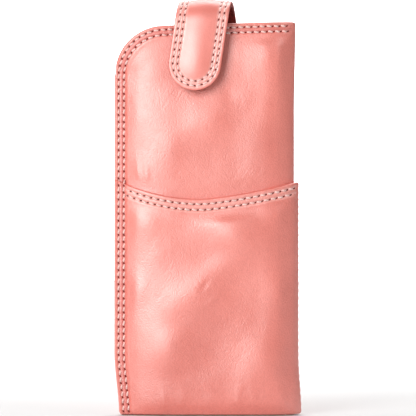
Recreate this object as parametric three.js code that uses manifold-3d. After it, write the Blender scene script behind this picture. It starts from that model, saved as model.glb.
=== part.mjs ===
// A soft leather glasses case that stands upright on its foot, with its mouth at the top.
//
// One piece of leather wraps the case: it is folded down the right side, turned in and sewn along
// the foot, and sewn through from front to back up the left side with two rows of thread. The same
// two rows run round the left shoulder and along the mouth. A slip pocket covers the lower part of
// the front. A short strap is sewn to the back, arches over the mouth and closes on the front with
// a press stud. Two paddings and a lining bag are inside.
//
// Millimetres. +X is the folded side, -Y is the front and +Z is up. The origin is the middle of the
// box round the object, on the surface that the foot stands on.
import * as THREE from "three";
import { mergeVertices } from "three/addons/utils/BufferGeometryUtils.js";
import Module from "manifold-3d";

const { clamp, degToRad, lerp } = THREE.MathUtils;

// ---------------------------------------------------------------- driving dimensions

const CASE_HEIGHT = 170; // foot to mouth, at the folded side
const MOUTH_DROP = 1.8; // the mouth is this much lower where the shoulder begins
const SEWN_EDGE = -40.5; // x of the sewn left edge
const FOLD_EDGE = 37.3; // x of the folded right edge
const SHOULDER_RADIUS = 22;
const FOOT_TAPER = 2.1; // the sewn edge draws in by this much at the foot
const FOOT_TAPER_HEIGHT = 28;
const FOLD_FLARE = 1.2; // the folded edge spreads by this much at the foot
const FOLD_FLARE_HEIGHT = 25;
const MOUTH_FLARE = 0.6; // and by this much towards the mouth
const MOUTH_FLARE_FROM = 130;

const MIDDLE_Y = 1.2; // the case's middle plane, which centres the whole object on the origin
const FULL_HALF = 7.5; // half the case's depth where it is fullest
const FOOT_HALF = 3.5; // half the depth of the flat foot
const FOOT_ROUND = 8; // height over which the foot rounds out to the full depth
const MOUTH_HALF = 6.2; // half the depth at the mouth
const MOUTH_TAPER_FROM = 120;
const SEAM_HALF = 2.2; // half the thickness of the sewn edge
const SEAM_WIDTH = 5; // the sewn edge is flat for this width
const SEAM_RISE = 22; // width over which the case swells beside it
const FOLD_ROUND = 14; // width over which the case rounds into the fold

const LEATHER = 1.1;
const TURNED_HEM = 2.2; // at the mouth the leather is turned over and lies double
const HEM_DEPTH = 10;
const LINING = 0.4;
const LINING_INSET = 2.7; // from the leather's outer face to the lining's
const LINING_SEAM_HALF = 0.8;
const LINING_EDGE = 1.5; // how far the lining stops short of the sewn edge
const LINING_FOOT = 2.5;
const GAP = 0.3; // left between pieces that touch
const PADDING_FROM = 0.16; // the paddings cross this much of the case's width
const PADDING_TO = 0.84;
const PADDING_FOOT = 6;
const FOOT_SEAM_HEIGHT = 1.8;

const POCKET_LEFT_Z = 101.6; // the pocket's rim at the sewn edge,
const POCKET_LOW_Z = 93; // where it dips lowest
const POCKET_RIGHT_Z = 100.9; // and at the fold
const POCKET_LOW_X = -4;
const POCKET_FOOT = 0.4;
const POCKET_LIFT = 1; // from the case's leather to the back of the pocket's
const POCKET_LEATHER = 0.95;
const POCKET_HEM_LIFT = 0.3; // the rim is turned over, so there it lies close to the case
const POCKET_HEM_DEPTH = 9;
const POCKET_LINING_LIFT = 0.35;
const POCKET_LINING = 0.35;
const POCKET_WRAP = 4.5; // how far the pocket goes round the fold onto the back

const STRAP_WIDTH = 22.6;
const STRAP_LEAN = degToRad(8.7); // from the vertical
const STRAP_TOP = 178.9; // the arch's outer face
const STRAP_END_X = -5.7; // the press stud, which is the centre of the strap's round end
const STRAP_END_Z = 151;
const ARCH_FOOT_Z = 168; // where the arch springs from the two legs
const ANCHOR_LOW_Z = 136; // lower end of the part sewn to the back
const STRAP_LEATHER = 0.9;
const STRAP_CORE = 0.5;
const STRAP_LINING = 0.7;
const STRAP_GAP = 0.2;
const CORE_MARGIN = 4.6; // the core lies inside both rows of thread
const REAR_HINGE_ANGLE = degToRad(16); // round the arch, from the back
const FRONT_HINGE_ANGLE = degToRad(135);

const STUD_STACK = 2.9; // the press stud holds the strap this far off the case
const PATCH_RADIUS = 7.5;

const THREAD_RADIUS = 0.3;
const THREAD_LIFT = 0.25;
const OUTER_ROW = 1.9; // from an edge to the first row of thread
const INNER_ROW = 4.2; // and to the second
const STRAP_OUTER_ROW = 1.9;
const STRAP_INNER_ROW = 3.9;

// ---------------------------------------------------------------- materials

const material = (color, roughness, metalness = 0) =>
  new THREE.MeshStandardMaterial({ color, roughness, metalness });
const CORAL_LEATHER = () => material("#ee9384", 0.42);
const STRAP_BACKING = () => material("#dd7f70", 0.62);
const LINING_FABRIC = () => material("#c96f66", 0.8);
const PADDING_FLEECE = () => material("#e9e4da", 0.95);
const REINFORCEMENT = () => material("#d8d2c6", 0.9);
const THREAD = () => material("#f2d3cb", 0.6);
const SNAP_METAL = () => material("#c9c3b8", 0.25, 1);

// ---------------------------------------------------------------- small maths

const smooth = (t) => THREE.MathUtils.smoothstep(t, 0, 1);
const roundOut = (t) => Math.sqrt(1 - (1 - clamp(t, 0, 1)) ** 2);
const range = (n, from, to) => Array.from({ length: n + 1 }, (_, i) => lerp(from, to, i / n));

// ---------------------------------------------------------------- the case's form

// x of the sewn edge and of the fold at height z.
const sewnEdge = (z) => SEWN_EDGE + FOOT_TAPER * (1 - smooth(z / FOOT_TAPER_HEIGHT));
const foldEdge = (z) =>
  FOLD_EDGE +
  FOLD_FLARE * (1 - smooth(z / FOLD_FLARE_HEIGHT)) +
  MOUTH_FLARE * smooth((z - MOUTH_FLARE_FROM) / (CASE_HEIGHT - MOUTH_FLARE_FROM));

const SHOULDER_X = SEWN_EDGE + SHOULDER_RADIUS;
const SHOULDER_Z = CASE_HEIGHT - MOUTH_DROP - SHOULDER_RADIUS;

// z of the mouth's rim, or of a line inset from it: an arc round the shoulder, then a line that
// climbs to the fold.
function rimHeight(x, inset = 0) {
  if (x < SHOULDER_X) {
    const radius = SHOULDER_RADIUS - inset;
    return SHOULDER_Z + Math.sqrt(Math.max(0, radius ** 2 - (SHOULDER_X - x) ** 2));
  }
  const along = (x - SHOULDER_X) / (foldEdge(CASE_HEIGHT) - SHOULDER_X);
  return CASE_HEIGHT - MOUTH_DROP * (1 - along) - inset;
}

// Half the depth in the middle of the case at height z, for a surface this far inside the leather.
function crownHalf(z, inset = 0) {
  const foot = roundOut((z - inset) / (FOOT_ROUND - inset));
  const mouth = smooth((z - MOUTH_TAPER_FROM) / (CASE_HEIGHT - MOUTH_TAPER_FROM));
  return lerp(FOOT_HALF, FULL_HALF, foot) - (FULL_HALF - MOUTH_HALF) * mouth - inset;
}

// 0 on the flat of the sewn edge, rising to 1 where the case is full.
function seamSwell(x, z) {
  const seamTop = Math.min(z, SHOULDER_Z);
  const fromSeam = Math.hypot(x - sewnEdge(seamTop), z - seamTop);
  const t = clamp((fromSeam - SEAM_WIDTH) / SEAM_RISE, 0, 1);
  return (1 - (1 - t) ** 2.2) ** 0.8;
}

// A layer is a surface parallel to the leather's outer face: its distance inside that face, and
// half the thickness that it leaves at the sewn edge, where the layers are pressed together.
const layer = (inset, seamHalf = SEAM_HALF - inset) => ({ inset, seamHalf });
const OUTSIDE = layer(0);
const LEATHER_BACK = layer(LEATHER);
const HEM_BACK = layer(TURNED_HEM, 0.3);
const PADDING_OUTSIDE = layer(LEATHER + GAP);
const PADDING_INSIDE = layer(LINING_INSET - GAP, LINING_SEAM_HALF + GAP);
const LINING_OUTSIDE = layer(LINING_INSET, LINING_SEAM_HALF);
const LINING_INSIDE = layer(LINING_INSET + LINING, LINING_SEAM_HALF - LINING);

// Half the case's depth at x, z on a layer.
function halfDepth(x, z, { inset, seamHalf }) {
  const half = lerp(seamHalf, crownHalf(z, inset), seamSwell(x, z));
  const intoFold = (x - foldEdge(z) + FOLD_ROUND) / (FOLD_ROUND - inset);
  return intoFold > 0 ? half * Math.sqrt(Math.max(0, 1 - intoFold ** 2)) : half;
}

const FRONT = -1;
const BACK = 1;
const onCase = (x, z, side, surface) =>
  new THREE.Vector3(x, MIDDLE_Y + side * halfDepth(x, z, surface), z);

// Shares of the way across, from the sewn edge to the fold: close together where the form turns.
const ACROSS = [
  0, 0.012, 0.03, 0.05, 0.07, 0.09, 0.12, 0.16, 0.2, 0.25, 0.31, 0.38, 0.5, 0.65, 0.76, 0.84, 0.89,
  0.93, 0.96, 0.98, 0.993, 1,
];
// Shares of the way up.
const UP = [0, 0.006, 0.016, 0.032, 0.05, 0.09, 0.16, 0.36, 0.7, 0.76, 0.82, 0.87];

// ---------------------------------------------------------------- solids from grids of points

// A closed solid from points and quads, whose repeated corners are dropped.
function solidFrom(points, quads) {
  const triangles = quads
    .flatMap(([a, b, c, d]) => [[a, b, c], [a, c, d]])
    .filter(([a, b, c]) => a !== b && b !== c && c !== a);
  const volume = triangles.reduce((sum, [a, b, c]) => {
    return sum + points[a].dot(points[b].clone().cross(points[c]));
  }, 0);
  if (volume < 0) triangles.forEach((corners) => corners.reverse());
  return new THREE.BufferGeometry().setFromPoints(points).setIndex(triangles.flat());
}

// A plate between two grids of the same size, outer[row][column] and inner[row][column].
function plate(outer, inner) {
  const rows = outer.length;
  const columns = outer[0].length;
  const front = (i, j) => i * columns + j;
  const back = (i, j) => rows * columns + front(i, j);
  const quads = [];
  for (let i = 0; i + 1 < rows; i++) {
    for (let j = 0; j + 1 < columns; j++) {
      quads.push([front(i, j), front(i, j + 1), front(i + 1, j + 1), front(i + 1, j)]);
      quads.push([back(i, j), back(i + 1, j), back(i + 1, j + 1), back(i, j + 1)]);
    }
    const end = columns - 1;
    quads.push([front(i, 0), front(i + 1, 0), back(i + 1, 0), back(i, 0)]);
    quads.push([front(i, end), back(i, end), back(i + 1, end), front(i + 1, end)]);
  }
  for (let j = 0; j + 1 < columns; j++) {
    const end = rows - 1;
    quads.push([front(0, j), back(0, j), back(0, j + 1), front(0, j + 1)]);
    quads.push([front(end, j), front(end, j + 1), back(end, j + 1), back(end, j)]);
  }
  return solidFrom([...outer.flat(), ...inner.flat()], quads);
}

// A bag between two stacks of loops, closed below and open above. A loop crosses the front, goes
// round the fold and comes back, so its point k faces its point last - k.
function bag(outer, inner) {
  const top = outer.length - 1;
  const around = outer[0].length;
  const last = around - 1;
  const outside = (i, k) => i * around + (k % around);
  const inside = (i, k) => (top + 1) * around + outside(i, k);
  const quads = [];
  for (let k = 0; k < around; k++) {
    for (let i = 0; i < top; i++) {
      quads.push([outside(i, k), outside(i, k + 1), outside(i + 1, k + 1), outside(i + 1, k)]);
      quads.push([inside(i, k), inside(i + 1, k), inside(i + 1, k + 1), inside(i, k + 1)]);
    }
    quads.push([outside(top, k), outside(top, k + 1), inside(top, k + 1), inside(top, k)]);
  }
  for (let k = 0; k < last / 2; k++) {
    quads.push([outside(0, k), outside(0, last - k), outside(0, last - k - 1), outside(0, k + 1)]);
    quads.push([inside(0, k + 1), inside(0, last - k - 1), inside(0, last - k), inside(0, k)]);
  }
  return solidFrom([...outer.flat(), ...inner.flat()], quads);
}

// ---------------------------------------------------------------- cutting, with manifold-3d

const wasm = await Module();
wasm.setup();

function manifoldOf(geometry) {
  const bare = geometry.clone().deleteAttribute("normal").deleteAttribute("uv");
  const merged = mergeVertices(bare, 1e-4);
  const mesh = new wasm.Mesh({
    numProp: 3,
    vertProperties: merged.attributes.position.array,
    triVerts: new Uint32Array(merged.index.array),
  });
  return new wasm.Manifold(mesh);
}

function cut(geometry, tool) {
  const { vertProperties, triVerts } = manifoldOf(geometry).subtract(manifoldOf(tool)).getMesh();
  return new THREE.BufferGeometry()
    .setAttribute("position", new THREE.BufferAttribute(vertProperties, 3))
    .setIndex(new THREE.BufferAttribute(triVerts, 1));
}

// ---------------------------------------------------------------- the case: leather and lining

// One loop of a bag, a share v of the way up from the bag's floor to its rim.
function loopAt(v, surface, { floor, edge, rimInset }) {
  const point = (share, side) => {
    const rim = rimHeight(lerp(SEWN_EDGE, foldEdge(CASE_HEIGHT), share)) - rimInset;
    const z = lerp(floor, rim, v);
    const x = lerp(sewnEdge(z) + edge, foldEdge(z) - surface.inset, share);
    return onCase(x, z, side, surface);
  };
  const back = ACROSS.slice(0, -1).reverse();
  return [...ACROSS.map((share) => point(share, FRONT)), ...back.map((share) => point(share, BACK))];
}

function outerShell() {
  const hemStart = 1 - HEM_DEPTH / CASE_HEIGHT;
  const levels = [...UP, 0.91, hemStart - 0.002, hemStart, 0.97, 1];
  const outer = levels.map((v) => loopAt(v, OUTSIDE, { floor: 0, edge: 0, rimInset: 0 }));
  const inner = levels.map((v) => {
    const surface = v < hemStart ? LEATHER_BACK : HEM_BACK;
    return loopAt(v, surface, { floor: LEATHER, edge: LEATHER, rimInset: 0 });
  });
  return bag(outer, inner);
}

function liningBag() {
  const levels = [...UP.filter((v) => v !== 0.006), 0.94, 1];
  const rimInset = HEM_DEPTH + 1;
  const loops = (surface, floor, edge) =>
    levels.map((v) => loopAt(v, surface, { floor, edge, rimInset }));
  return bag(
    loops(LINING_OUTSIDE, LINING_FOOT, LINING_EDGE),
    loops(LINING_INSIDE, LINING_FOOT + LINING, LINING_EDGE + LINING),
  );
}

// A padding lies between the leather and the lining, clear of the seam and of the fold.
function padding(side) {
  const shares = ACROSS.filter((share) => share >= PADDING_FROM && share <= PADDING_TO);
  const face = (surface) =>
    UP.map((v) =>
      shares.map((share) => {
        const rim = rimHeight(lerp(SEWN_EDGE, foldEdge(CASE_HEIGHT), share));
        const z = lerp(PADDING_FOOT, rim - HEM_DEPTH - 2, v / UP.at(-1));
        return onCase(lerp(sewnEdge(z), foldEdge(z), share), z, side, surface);
      }),
    );
  return plate(face(PADDING_OUTSIDE), face(PADDING_INSIDE));
}

// ---------------------------------------------------------------- the pocket

// z of the pocket's rim: a shallow curve that dips left of the middle.
function pocketRim(x) {
  const left = clamp((POCKET_LOW_X - x) / (POCKET_LOW_X - SEWN_EDGE), 0, 1);
  const right = clamp((x - POCKET_LOW_X) / (FOLD_EDGE + 2 - POCKET_LOW_X), 0, 1);
  const rise = (POCKET_LEFT_Z - POCKET_LOW_Z) * left ** 2;
  return POCKET_LOW_Z + rise + (POCKET_RIGHT_Z - POCKET_LOW_Z) * right ** 1.4;
}

// A sheet of the pocket crosses the front, goes round the fold and ends on the back. Its rim is
// this far below the pocket's, and its hem, if it has one, lies at its own height off the case.
function pocketSheet({ lift, thickness, below, foot, hemLift = lift }) {
  const wrap = 1 - POCKET_WRAP / (FOLD_EDGE - SEWN_EDGE);
  const back = [0.993, 0.98, 0.96, wrap];
  const stations = [...ACROSS.map((share) => [share, FRONT]), ...back.map((share) => [share, BACK])];
  const hemStart = 1 - POCKET_HEM_DEPTH / POCKET_LOW_Z;
  const levels = [0, 0.012, 0.03, 0.055, 0.085, 0.16, 0.26, 0.6, hemStart - 0.003, hemStart, 1];
  const face = (liftAt) =>
    levels.map((v) =>
      stations.map(([share, side]) => {
        const rim = pocketRim(lerp(SEWN_EDGE, FOLD_EDGE, share)) - below;
        const z = lerp(foot, rim, v);
        const x = lerp(sewnEdge(z), foldEdge(z) + liftAt(v), share);
        return onCase(x, z, side, layer(-liftAt(v)));
      }),
    );
  return plate(
    face(() => lift + thickness),
    face((v) => (v < hemStart ? lift : hemLift)),
  );
}

// ---------------------------------------------------------------- the strap

const STRAP_THICKNESS = STRAP_LEATHER + STRAP_CORE + STRAP_LINING + 2 * STRAP_GAP;
const BACKING_FACE = -STRAP_THICKNESS / 2;
const CORE_FACE = BACKING_FACE + STRAP_LINING + STRAP_GAP;
const LEATHER_FACE = CORE_FACE + STRAP_CORE + STRAP_GAP;
const OUTER_FACE = STRAP_THICKNESS / 2;

// The front leg is parallel to the leather behind the press stud.
const FRONT_SLOPE = crownHalf(STRAP_END_Z - 0.5) - crownHalf(STRAP_END_Z + 0.5);
const STUD_TILT = Math.atan(FRONT_SLOPE);
const STUD_FACE_Y = MIDDLE_Y - crownHalf(STRAP_END_Z);
const LEG_OUT = STUD_STACK + STRAP_THICKNESS / 2;
const END_Z = STRAP_END_Z + LEG_OUT * Math.sin(STUD_TILT);
const frontLegY = (z) => STUD_FACE_Y - LEG_OUT * Math.cos(STUD_TILT) + FRONT_SLOPE * (z - END_Z);
const backLegY = (z) => MIDDLE_Y + crownHalf(z) + GAP + STRAP_THICKNESS / 2;

// The strap's middle surface seen along X, as points (y, z): up the back, over the mouth and down
// the front.
const LEG_FOOT_Z = END_Z - STRAP_WIDTH;
const backLeg = new THREE.LineCurve(
  new THREE.Vector2(backLegY(ANCHOR_LOW_Z), ANCHOR_LOW_Z),
  new THREE.Vector2(backLegY(ARCH_FOOT_Z), ARCH_FOOT_Z),
);
const arch = new THREE.EllipseCurve(
  (backLegY(ARCH_FOOT_Z) + frontLegY(ARCH_FOOT_Z)) / 2,
  ARCH_FOOT_Z,
  (backLegY(ARCH_FOOT_Z) - frontLegY(ARCH_FOOT_Z)) / 2,
  STRAP_TOP - STRAP_THICKNESS / 2 - ARCH_FOOT_Z,
  0,
  Math.PI,
);
const frontLeg = new THREE.LineCurve(
  new THREE.Vector2(frontLegY(ARCH_FOOT_Z), ARCH_FOOT_Z),
  new THREE.Vector2(frontLegY(LEG_FOOT_Z), LEG_FOOT_Z),
);

// Distances along the strap from its lower end on the back.
const ARCH_START = backLeg.getLength();
const ARCH_END = ARCH_START + arch.getLength();
const LEG_END = ARCH_END + frontLeg.getLength();
const END_CENTRE = lerp(ARCH_END, LEG_END, (ARCH_FOOT_Z - END_Z) / (ARCH_FOOT_Z - LEG_FOOT_Z));
const REAR_HINGE = lerp(ARCH_START, ARCH_END, REAR_HINGE_ANGLE / Math.PI);
const FRONT_HINGE = lerp(ARCH_START, ARCH_END, FRONT_HINGE_ANGLE / Math.PI);

// The strap's point at x, at a distance s along it, this far off its middle surface.
function onStrap(x, s, lift) {
  const [curve, from, to] =
    s < ARCH_START ? [backLeg, 0, ARCH_START]
    : s < ARCH_END ? [arch, ARCH_START, ARCH_END]
    : [frontLeg, ARCH_END, LEG_END];
  const u = clamp((s - from) / (to - from), 0, 1);
  const at = curve.getPointAt(u);
  const along = curve.getTangentAt(u);
  return new THREE.Vector3(x, at.x + along.y * lift, at.y - along.x * lift);
}

// x of one edge of the strap at s, or of a line inset from it. The strap leans, and ends round.
function strapEdge(s, side, inset) {
  const radius = STRAP_WIDTH / 2 - inset;
  if (s > END_CENTRE + side * radius * Math.sin(STRAP_LEAN)) {
    return STRAP_END_X + side * Math.sqrt(Math.max(0, radius ** 2 - (s - END_CENTRE) ** 2));
  }
  const centre = STRAP_END_X + Math.tan(STRAP_LEAN) * (END_CENTRE - s);
  return centre + (side * radius) / Math.cos(STRAP_LEAN);
}

// Each section of the strap: its stations along the strap, for a strip inset from the edge.
const SECTIONS = {
  anchor: () => [...range(4, 0, ARCH_START), REAR_HINGE - GAP / 2],
  bridge: () => range(10, REAR_HINGE + GAP / 2, FRONT_HINGE - GAP / 2),
  flap: (inset) => {
    const radius = STRAP_WIDTH / 2 - inset;
    const angles = [-10, 0, 14, 28, 41, 53, 64, 73, 80, 85];
    const curled = range(4, FRONT_HINGE + GAP / 2, ARCH_END);
    return [...curled, ...angles.map((a) => END_CENTRE + radius * Math.sin(degToRad(a)))];
  },
};

// The strap's layers, from the case outwards.
const STRAP_LAYERS = {
  lining: { inset: 0.2, low: BACKING_FACE, high: BACKING_FACE + STRAP_LINING, look: STRAP_BACKING },
  core: { inset: CORE_MARGIN, low: CORE_FACE, high: CORE_FACE + STRAP_CORE, look: REINFORCEMENT },
  leather: { inset: 0, low: LEATHER_FACE, high: OUTER_FACE, look: CORAL_LEATHER },
};

function strapStrip(section, { inset, low, high }) {
  const stations = SECTIONS[section](inset);
  const face = (lift) =>
    stations.map((s) => [-1, 1].map((side) => onStrap(strapEdge(s, side, inset), s, lift)));
  return plate(face(high), face(low));
}

// ---------------------------------------------------------------- the press stud

// Its pieces are turned about one line, square to the leather. A profile's points are [radius,
// height off the case's leather]; the inside of the case is below 0.
function turned(profile, segments = 16) {
  const outline = profile.map(([radius, height]) => new THREE.Vector2(radius, height));
  const lathed = new THREE.LatheGeometry(outline, segments);
  lathed.deleteAttribute("normal").deleteAttribute("uv");
  return mergeVertices(lathed, 1e-4)
    .rotateX(Math.PI - STUD_TILT)
    .translate(STRAP_END_X, STUD_FACE_Y, STRAP_END_Z);
}

const rod = (radius, low, high) => turned([[0, low], [radius, low], [radius, high], [0, high]]);
const ring = (inner, outer, low, high) =>
  turned([[inner, low], [outer, low], [outer, high], [inner, high], [inner, low]]);

const SNAP_STUD = [
  [0, 1.45], [1.25, 1.45], [1.25, 0.35], [4.4, 0.35], [4.5, 0.6],
  [1.75, 0.85], [1.6, 1.2], [2, 1.65], [1.8, 2], [0, 2.1],
];
const SNAP_STUD_RIVET = [
  [0, -2.4], [3.9, -2.4], [4, -2.25], [3.9, -2.15], [0.95, -2.1], [0.95, 1.15], [0, 1.15],
];
const SNAP_SOCKET = [
  [2.6, 1.15], [5.1, 1.15], [5.4, 1.5], [5.4, 2.5], [5.3, 2.6], [1.3, 2.6],
  [1.3, 2.35], [3.6, 2.35], [3.6, 1.4], [2.6, 1.4], [2.6, 1.15],
];
const CAP_LOW = STUD_STACK + STRAP_LINING + STRAP_GAP;
const SNAP_SOCKET_RIVET = [
  [0, 2.35], [0.95, 2.35], [0.95, CAP_LOW], [5, CAP_LOW], [5, CAP_LOW + STRAP_CORE], [0, CAP_LOW + STRAP_CORE],
];

// ---------------------------------------------------------------- thread

const THREAD_SECTION = new THREE.Shape(
  range(5, 0, 2 * Math.PI)
    .slice(0, -1)
    .map((a) => new THREE.Vector2(THREAD_RADIUS * Math.cos(a), THREAD_RADIUS * Math.sin(a))),
);

function threadAlong(points, steps) {
  const extrudePath = new THREE.CatmullRomCurve3(points, false, "centripetal");
  return new THREE.ExtrudeGeometry(THREAD_SECTION, { steps, bevelEnabled: false, extrudePath });
}

const POCKET_OUT = POCKET_LIFT + POCKET_LEATHER;
const threadLayer = (out) => layer(-(out + THREAD_LIFT + THREAD_RADIUS));

// A row of thread up the sewn edge, round the shoulder and along the mouth as far as x.
function edgeThread(inset, side, toX) {
  const path = [1.4, 4, 8, 14, 20, 30, 60, 90, 100, 102.3, 103.8, 106, 125, SHOULDER_Z].map((z) => [
    sewnEdge(z) + inset,
    z,
  ]);
  const radius = SHOULDER_RADIUS - inset;
  for (const angle of range(10, Math.PI, Math.PI / 2).slice(1)) {
    path.push([SHOULDER_X + radius * Math.cos(angle), SHOULDER_Z + radius * Math.sin(angle)]);
  }
  path.push(...range(8, SHOULDER_X, toX).slice(1).map((x) => [x, rimHeight(x) - inset]));
  const points = path.map(([x, z]) => {
    const overPocket = side === FRONT && z < pocketRim(x) + 2;
    return onCase(x, z, side, threadLayer(overPocket ? POCKET_OUT : 0));
  });
  return threadAlong(points, 56);
}

// A row along the mouth at the back, from the strap to the fold.
function rimThread(inset) {
  const points = range(6, 14.6, 35.4).map((x) => {
    return onCase(x, rimHeight(x) - inset, BACK, threadLayer(0));
  });
  return threadAlong(points, 12);
}

function pocketRimThread(inset) {
  const points = range(14, -34.6, 36).map((x) => {
    return onCase(x, pocketRim(x) - inset, FRONT, threadLayer(POCKET_OUT));
  });
  return threadAlong(points, 22);
}

// The row that sews the pocket's end to the back, beside the fold.
function pocketSideThread() {
  const points = [3, 6, 10, 16, 24, 45, 70, 97].map((z) => {
    return onCase(foldEdge(z) - POCKET_WRAP / 2, z, BACK, threadLayer(POCKET_OUT));
  });
  return threadAlong(points, 20);
}

// The seam that closes the foot, under the lining.
function footSeamThread() {
  const points = [sewnEdge(0) + 5, foldEdge(0) - 5].map((x) => {
    return new THREE.Vector3(x, MIDDLE_Y, FOOT_SEAM_HEIGHT);
  });
  return threadAlong(points, 4);
}

const strapThreadPoint = (x, s) => onStrap(x, s, OUTER_FACE + THREAD_LIFT + THREAD_RADIUS);
const strapThreadLeg = (stations, side, inset) =>
  stations.map((s) => strapThreadPoint(strapEdge(s, side, inset), s));
const HINGE_MARGIN = 1;

// Down one edge of the flap, round its end and up the other.
function flapThread(inset) {
  const radius = STRAP_WIDTH / 2 - inset;
  const curled = range(4, FRONT_HINGE + HINGE_MARGIN, ARCH_END);
  const stations = [...curled, lerp(ARCH_END, END_CENTRE, 0.5)];
  const end = range(12, -Math.PI / 2 - STRAP_LEAN, Math.PI / 2 - STRAP_LEAN).map((a) => {
    return strapThreadPoint(STRAP_END_X + radius * Math.sin(a), END_CENTRE + radius * Math.cos(a));
  });
  const left = strapThreadLeg(stations, -1, inset);
  const right = strapThreadLeg(stations, 1, inset).reverse();
  return threadAlong([...left, ...end, ...right], 44);
}

function bridgeThread(side, inset) {
  const stations = range(8, REAR_HINGE + HINGE_MARGIN, FRONT_HINGE - HINGE_MARGIN);
  return threadAlong(strapThreadLeg(stations, side, inset), 14);
}

// Down one edge of the anchor, across its lower end and up the other.
function anchorThread(inset) {
  const stations = [REAR_HINGE - HINGE_MARGIN, ARCH_START, ARCH_START / 2, inset + 1.5];
  const left = strapThreadLeg(stations, -1, inset);
  const right = strapThreadLeg(stations, 1, inset).reverse();
  const foot = [-1, 1].map((side) => strapThreadPoint(strapEdge(inset, side, inset + 1.5), inset));
  return threadAlong([...left, ...foot, ...right], 28);
}

// ---------------------------------------------------------------- putting it together

const group = new THREE.Group();

function add(name, geometry, look) {
  const mesh = new THREE.Mesh(geometry, look());
  mesh.name = name;
  group.add(mesh);
}

function addCase() {
  add("outer_shell", cut(outerShell(), rod(1.7, -3, 3)), CORAL_LEATHER);
  add("front_padding", cut(padding(FRONT), rod(PATCH_RADIUS + 1, -6, 3)), PADDING_FLEECE);
  add("back_padding", padding(BACK), PADDING_FLEECE);
  add("lining_bag", liningBag(), LINING_FABRIC);
  add("foot_seam_thread", footSeamThread(), THREAD);
}

function addPocket() {
  const leather = {
    lift: POCKET_LIFT,
    thickness: POCKET_LEATHER,
    below: 0,
    foot: POCKET_FOOT,
    hemLift: POCKET_HEM_LIFT,
  };
  const lining = {
    lift: POCKET_LINING_LIFT,
    thickness: POCKET_LINING,
    below: POCKET_HEM_DEPTH + 2,
    foot: POCKET_FOOT + 1,
  };
  add("pocket_panel", pocketSheet(leather), CORAL_LEATHER);
  add("pocket_lining", pocketSheet(lining), LINING_FABRIC);
}

function addStrap() {
  for (const section of Object.keys(SECTIONS)) {
    for (const [name, strip] of Object.entries(STRAP_LAYERS)) {
      const solid = strapStrip(section, strip);
      const holes = { core: rod(5.3, 0, 9), lining: rod(1.3, 0, 9) };
      const pierced = section === "flap" && name in holes;
      add(`strap_${section}_${name}`, pierced ? cut(solid, holes[name]) : solid, strip.look);
    }
  }
}

function addPressStud() {
  add("snap_stud", turned(SNAP_STUD), SNAP_METAL);
  add("snap_stud_rivet", turned(SNAP_STUD_RIVET), SNAP_METAL);
  add("snap_stud_patch", ring(1.6, PATCH_RADIUS, -1.95, -1.55), REINFORCEMENT);
  add("snap_socket", turned(SNAP_SOCKET), SNAP_METAL);
  add("snap_spring", ring(2.35, 3.1, 1.65, 2.1), SNAP_METAL);
  add("snap_socket_rivet", turned(SNAP_SOCKET_RIVET), SNAP_METAL);
}

function addThread() {
  for (const [row, inset] of [["outer", OUTER_ROW], ["inner", INNER_ROW]]) {
    add(`front_edge_thread_${row}`, edgeThread(inset, FRONT, 35.4), THREAD);
    add(`back_edge_thread_${row}`, edgeThread(inset, BACK, -11.2), THREAD);
    add(`back_rim_thread_${row}`, rimThread(inset), THREAD);
    add(`pocket_rim_thread_${row}`, pocketRimThread(inset), THREAD);
  }
  add("pocket_side_thread", pocketSideThread(), THREAD);
  for (const [row, inset] of [["outer", STRAP_OUTER_ROW], ["inner", STRAP_INNER_ROW]]) {
    add(`flap_thread_${row}`, flapThread(inset), THREAD);
    add(`bridge_left_thread_${row}`, bridgeThread(-1, inset), THREAD);
    add(`bridge_right_thread_${row}`, bridgeThread(1, inset), THREAD);
    add(`anchor_thread_${row}`, anchorThread(inset), THREAD);
  }
}

addCase();
addPocket();
addStrap();
addPressStud();
addThread();

export default group;
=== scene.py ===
"""The looks of a soft leather glasses pouch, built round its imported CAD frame."""

from functools import partial, reduce

import bmesh
import bpy
import numpy as np
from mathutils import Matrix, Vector


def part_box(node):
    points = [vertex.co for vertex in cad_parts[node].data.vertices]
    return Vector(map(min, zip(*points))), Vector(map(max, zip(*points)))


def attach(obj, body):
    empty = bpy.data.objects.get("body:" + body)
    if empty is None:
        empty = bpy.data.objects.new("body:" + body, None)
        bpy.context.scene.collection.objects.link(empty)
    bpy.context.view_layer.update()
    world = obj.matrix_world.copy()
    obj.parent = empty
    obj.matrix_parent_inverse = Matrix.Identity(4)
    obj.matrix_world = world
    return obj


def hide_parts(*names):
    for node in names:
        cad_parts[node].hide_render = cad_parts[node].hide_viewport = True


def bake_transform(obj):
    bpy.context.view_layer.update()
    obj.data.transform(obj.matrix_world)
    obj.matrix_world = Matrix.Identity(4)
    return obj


MM = 0.001
RNG = np.random.default_rng(7)

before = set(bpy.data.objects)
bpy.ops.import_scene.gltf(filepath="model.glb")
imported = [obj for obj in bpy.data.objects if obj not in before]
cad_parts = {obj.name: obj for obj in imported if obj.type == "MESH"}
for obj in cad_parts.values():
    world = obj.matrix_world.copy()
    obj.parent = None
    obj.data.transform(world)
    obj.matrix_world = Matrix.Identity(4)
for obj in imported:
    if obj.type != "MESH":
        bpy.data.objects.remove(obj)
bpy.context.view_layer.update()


# ---------------- sizes, in millimetres


def box_mm(node):
    lo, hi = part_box(node)
    return np.array(lo) / MM, np.array(hi) / MM


SHELL_LO, SHELL_HI = box_mm("outer_shell")
PATCH_LO, PATCH_HI = box_mm("snap_stud_patch")

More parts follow.
